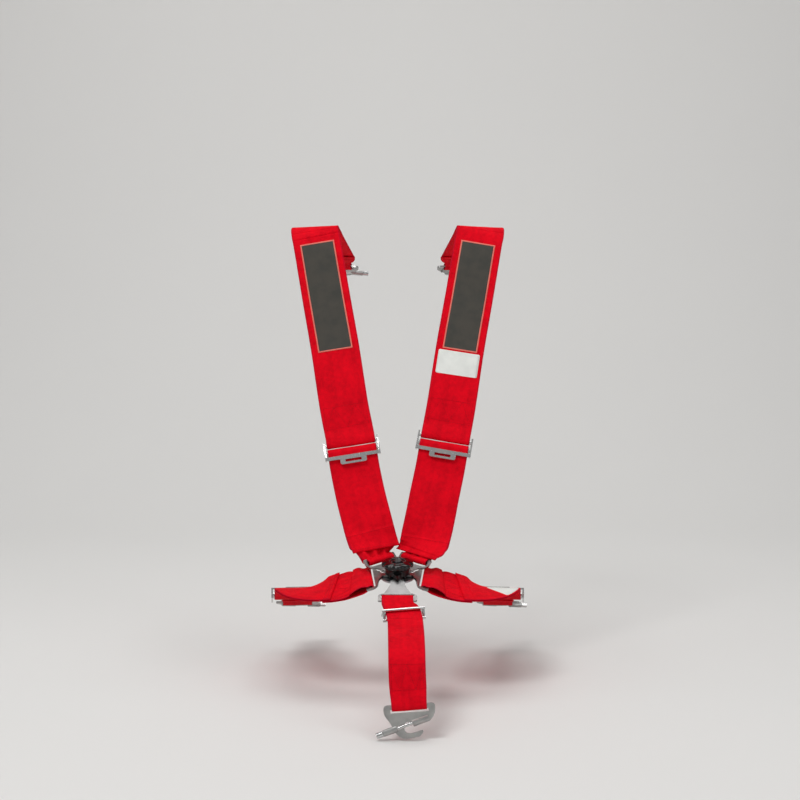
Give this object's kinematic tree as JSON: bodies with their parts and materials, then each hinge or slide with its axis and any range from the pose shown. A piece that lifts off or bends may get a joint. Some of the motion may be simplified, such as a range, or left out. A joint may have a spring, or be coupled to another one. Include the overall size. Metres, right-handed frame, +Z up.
{
  "type": "racing harness",
  "caption": "Racing harness of flat webbing straps with buckle adjusters and sprung snap hooks, joined at the lap in a rotary cam-lock quick-release buckle.",
  "frame": {"origin": "centre of the underside of the buckle's back plate", "axes": "+Z up, -Y towards the wearer's front, +X to the right seen from the front"},
  "size_m": [0.4191, 0.7228, 0.7025],
  "materials": {
    "webbing": "woven polyester webbing",
    "zinc_plate": "satin plated steel plate",
    "chrome": "bright chrome plating",
    "black_anodised": "black coated alloy",
    "buckle_steel": "plain machined steel",
    "spring_steel": "spring wire",
    "dark_patch": "dark woven patch",
    "patch_rim": "pale woven rim",
    "white_label": "blank sewn label"
  },
  "bodies": {
    "buckle": {"buckle_back_plate": "buckle_steel", "buckle_housing": "black_anodised", "buckle_cover_plate": "buckle_steel", "buckle_spindle": "chrome", "knob_spring": "spring_steel", "buckle_screw_1": "buckle_steel", "buckle_screw_2": "buckle_steel", "buckle_screw_3": "buckle_steel", "buckle_screw_4": "buckle_steel", "buckle_screw_5": "buckle_steel", "shoulder_right_pin_spring": "spring_steel", "shoulder_left_pin_spring": "spring_steel", "lap_right_pin_spring": "spring_steel", "lap_left_pin_spring": "spring_steel", "crotch_tongue": "zinc_plate", "crotch_strap": "webbing"},
    "knob": {"release_knob": "black_anodised", "cam_ring": "buckle_steel"},
    "shoulder_right_pin": {"shoulder_right_latch_pin": "buckle_steel"},
    "shoulder_left_pin": {"shoulder_left_latch_pin": "buckle_steel"},
    "lap_right_pin": {"lap_right_latch_pin": "buckle_steel"},
    "lap_left_pin": {"lap_left_latch_pin": "buckle_steel"},
    "shoulder_right": {"shoulder_right_tongue": "zinc_plate", "shoulder_right_lower_strap": "webbing", "shoulder_right_upper_strap": "webbing"},
    "shoulder_left": {"shoulder_left_tongue": "zinc_plate", "shoulder_left_lower_strap": "webbing", "shoulder_left_upper_strap": "webbing"},
    "lap_right": {"lap_right_tongue": "zinc_plate", "lap_right_strap": "webbing", "lap_right_anchor_strap": "webbing"},
    "lap_left": {"lap_left_tongue": "zinc_plate", "lap_left_strap": "webbing", "lap_left_anchor_strap": "webbing"},
    "shoulder_right_frame": {"shoulder_right_adjuster_frame": "chrome"},
    "shoulder_right_bar": {"shoulder_right_slide_bar": "chrome"},
    "shoulder_left_frame": {"shoulder_left_adjuster_frame": "chrome"},
    "shoulder_left_bar": {"shoulder_left_slide_bar": "chrome"},
    "lap_right_frame": {"lap_right_adjuster_frame": "chrome"},
    "lap_right_bar": {"lap_right_slide_bar": "chrome"},
    "lap_left_frame": {"lap_left_adjuster_frame": "chrome"},
    "lap_left_bar": {"lap_left_slide_bar": "chrome"},
    "crotch_keeper": {"crotch_keeper": "chrome"},
    "shoulder_left_hook": {"shoulder_left_hook_plate": "zinc_plate", "shoulder_left_hook_spring": "spring_steel"},
    "shoulder_left_bolt": {"shoulder_left_hook_bolt": "chrome"},
    "shoulder_right_hook": {"shoulder_right_hook_plate": "zinc_plate", "shoulder_right_hook_spring": "spring_steel"},
    "shoulder_right_bolt": {"shoulder_right_hook_bolt": "chrome"},
    "lap_left_hook": {"lap_left_hook_plate": "zinc_plate", "lap_left_hook_spring": "spring_steel"},
    "lap_left_bolt": {"lap_left_hook_bolt": "chrome"},
    "lap_right_hook": {"lap_right_hook_plate": "zinc_plate", "lap_right_hook_spring": "spring_steel"},
    "lap_right_bolt": {"lap_right_hook_bolt": "chrome"},
    "crotch_hook": {"crotch_hook_plate": "zinc_plate", "crotch_hook_spring": "spring_steel"},
    "crotch_bolt": {"crotch_hook_bolt": "chrome"}
  },
  "joints": [
    {"name": "knob_turn", "type": "hinge", "parent": "buckle", "child": "knob", "pos_m": [0, 0, 0], "axis": [0, -0.1736, 0.9848], "range_deg": [-30, 0]},
    {"name": "shoulder_right_pin_slide", "type": "slide", "parent": "buckle", "child": "shoulder_right_pin", "axis": [0, -0.1736, 0.9848], "range_m": [-0.0036, 0], "deforming": ["shoulder_right_pin_spring"]},
    {"name": "shoulder_left_pin_slide", "type": "slide", "parent": "buckle", "child": "shoulder_left_pin", "axis": [0, -0.1736, 0.9848], "range_m": [-0.0036, 0], "deforming": ["shoulder_left_pin_spring"]},
    {"name": "lap_right_pin_slide", "type": "slide", "parent": "buckle", "child": "lap_right_pin", "axis": [0, -0.1736, 0.9848], "range_m": [-0.0036, 0], "deforming": ["lap_right_pin_spring"]},
    {"name": "lap_left_pin_slide", "type": "slide", "parent": "buckle", "child": "lap_left_pin", "axis": [0, -0.1736, 0.9848], "range_m": [-0.0036, 0], "deforming": ["lap_left_pin_spring"]},
    {"name": "shoulder_right_tongue_release", "type": "slide", "parent": "buckle", "child": "shoulder_right", "axis": [0.6428, 0.7544, 0.133], "range_m": [0, 0.012]},
    {"name": "shoulder_left_tongue_release", "type": "slide", "parent": "buckle", "child": "shoulder_left", "axis": [-0.6428, 0.7544, 0.133], "range_m": [0, 0.012]},
    {"name": "lap_right_tongue_release", "type": "slide", "parent": "buckle", "child": "lap_right", "axis": [0.9962, -0.0858, -0.0151], "range_m": [0, 0.012]},
    {"name": "lap_left_tongue_release", "type": "slide", "parent": "buckle", "child": "lap_left", "axis": [-0.9962, -0.0858, -0.0151], "range_m": [0, 0.012]},
    {"name": "shoulder_right_adjuster_tilt", "type": "hinge", "parent": "shoulder_right", "child": "shoulder_right_frame", "pos_m": [0.07419, 0.10275, 0.19883], "axis": [-0.9848, 0.0575, 0.164], "range_deg": [0, 20]},
    {"name": "shoulder_right_bar_slip", "type": "slide", "parent": "shoulder_right", "child": "shoulder_right_bar", "axis": [-0.1738, -0.333, -0.9268], "range_m": [0, 0.0025]},
    {"name": "shoulder_left_adjuster_tilt", "type": "hinge", "parent": "shoulder_left", "child": "shoulder_left_frame", "pos_m": [-0.07242, 0.10019, 0.19238], "axis": [-0.987, -0.0531, -0.1516], "range_deg": [0, 20]},
    {"name": "shoulder_left_bar_slip", "type": "slide", "parent": "shoulder_left", "child": "shoulder_left_bar", "axis": [0.1606, -0.3285, -0.9308], "range_m": [0, 0.0025]},
    {"name": "lap_right_adjuster_tilt", "type": "hinge", "parent": "lap_right", "child": "lap_right_frame", "pos_m": [0.15951, 0.16209, -0.06185], "axis": [-0.9967, 0.0814, -0.0006], "range_deg": [0, 20]},
    {"name": "lap_right_bar_slip", "type": "slide", "parent": "lap_right", "child": "lap_right_bar", "axis": [-0.0771, -0.9424, 0.3256], "range_m": [0, 0.0025]},
    {"name": "lap_left_adjuster_tilt", "type": "hinge", "parent": "lap_left", "child": "lap_left_frame", "pos_m": [-0.15951, 0.16209, -0.06185], "axis": [-0.9967, -0.0814, 0.0006], "range_deg": [0, 20]},
    {"name": "lap_left_bar_slip", "type": "slide", "parent": "lap_left", "child": "lap_left_bar", "axis": [0.0771, -0.9424, 0.3256], "range_m": [0, 0.0025]},
    {"name": "keeper_slide", "type": "slide", "parent": "buckle", "child": "crotch_keeper", "axis": [0.1545, -0.9399, -0.3044], "range_m": [0, 0.008]},
    {"name": "shoulder_left_hook_swivel", "type": "hinge", "parent": "shoulder_left", "child": "shoulder_left_hook", "pos_m": [-0.10396, 0.42399, 0.46347], "axis": [0.9869, -0.1611, -0.0031], "range_deg": [-30, 30]},
    {"name": "shoulder_left_bolt_slide", "type": "slide", "parent": "shoulder_left_hook", "child": "shoulder_left_bolt", "axis": [0.991, 0.0972, -0.0917], "range_m": [0, 0.011], "stiffness_N_per_m": 300, "springref_m": -0.004, "deforming": ["shoulder_left_hook_spring"]},
    {"name": "shoulder_right_hook_swivel", "type": "hinge", "parent": "shoulder_right", "child": "shoulder_right_hook", "pos_m": [0.10396, 0.42399, 0.46347], "axis": [0.9869, 0.1611, 0.0031], "range_deg": [-30, 30]},
    {"name": "shoulder_right_bolt_slide", "type": "slide", "parent": "shoulder_right_hook", "child": "shoulder_right_bolt", "axis": [0.9092, 0.4075, -0.0856], "range_m": [0, 0.011], "stiffness_N_per_m": 300, "springref_m": -0.004, "deforming": ["shoulder_right_hook_spring"]},
    {"name": "lap_left_hook_swivel", "type": "hinge", "parent": "lap_left", "child": "lap_left_hook", "pos_m": [-0.16568, 0.23748, -0.08789], "axis": [0.9967, 0.0814, -0.0006], "range_deg": [-30, 30]},
    {"name": "lap_left_bolt_slide", "type": "slide", "parent": "lap_left_hook", "child": "lap_left_bolt", "axis": [0.9386, 0.3333, -0.0886], "range_m": [0, 0.011], "stiffness_N_per_m": 300, "springref_m": -0.004, "deforming": ["lap_left_hook_spring"]},
    {"name": "lap_right_hook_swivel", "type": "hinge", "parent": "lap_right", "child": "lap_right_hook", "pos_m": [0.16568, 0.23748, -0.08789], "axis": [0.9967, -0.0814, 0.0006], "range_deg": [-30, 30]},
    {"name": "lap_right_bolt_slide", "type": "slide", "parent": "lap_right_hook", "child": "lap_right_bolt", "axis": [0.9804, 0.1767, -0.0876], "range_m": [0, 0.011], "stiffness_N_per_m": 300, "springref_m": -0.004, "deforming": ["lap_right_hook_spring"]},
    {"name": "crotch_hook_swivel", "type": "hinge", "parent": "buckle", "child": "crotch_hook", "pos_m": [0.0162, -0.245, -0.12746], "axis": [-0.9975, -0.0107, -0.07], "range_deg": [-30, 30]},
    {"name": "crotch_bolt_slide", "type": "slide", "parent": "crotch_hook", "child": "crotch_bolt", "axis": [-0.9412, -0.0342, -0.3362], "range_m": [0, 0.011], "stiffness_N_per_m": 300, "springref_m": -0.004, "deforming": ["crotch_hook_spring"]}
  ],
  "couplings": [
    {"joint": "shoulder_right_pin_slide", "follows": "knob_turn", "m_per_rad": 0.006875},
    {"joint": "shoulder_left_pin_slide", "follows": "knob_turn", "m_per_rad": 0.006875},
    {"joint": "lap_right_pin_slide", "follows": "knob_turn", "m_per_rad": 0.006875},
    {"joint": "lap_left_pin_slide", "follows": "knob_turn", "m_per_rad": 0.006875}
  ]
}
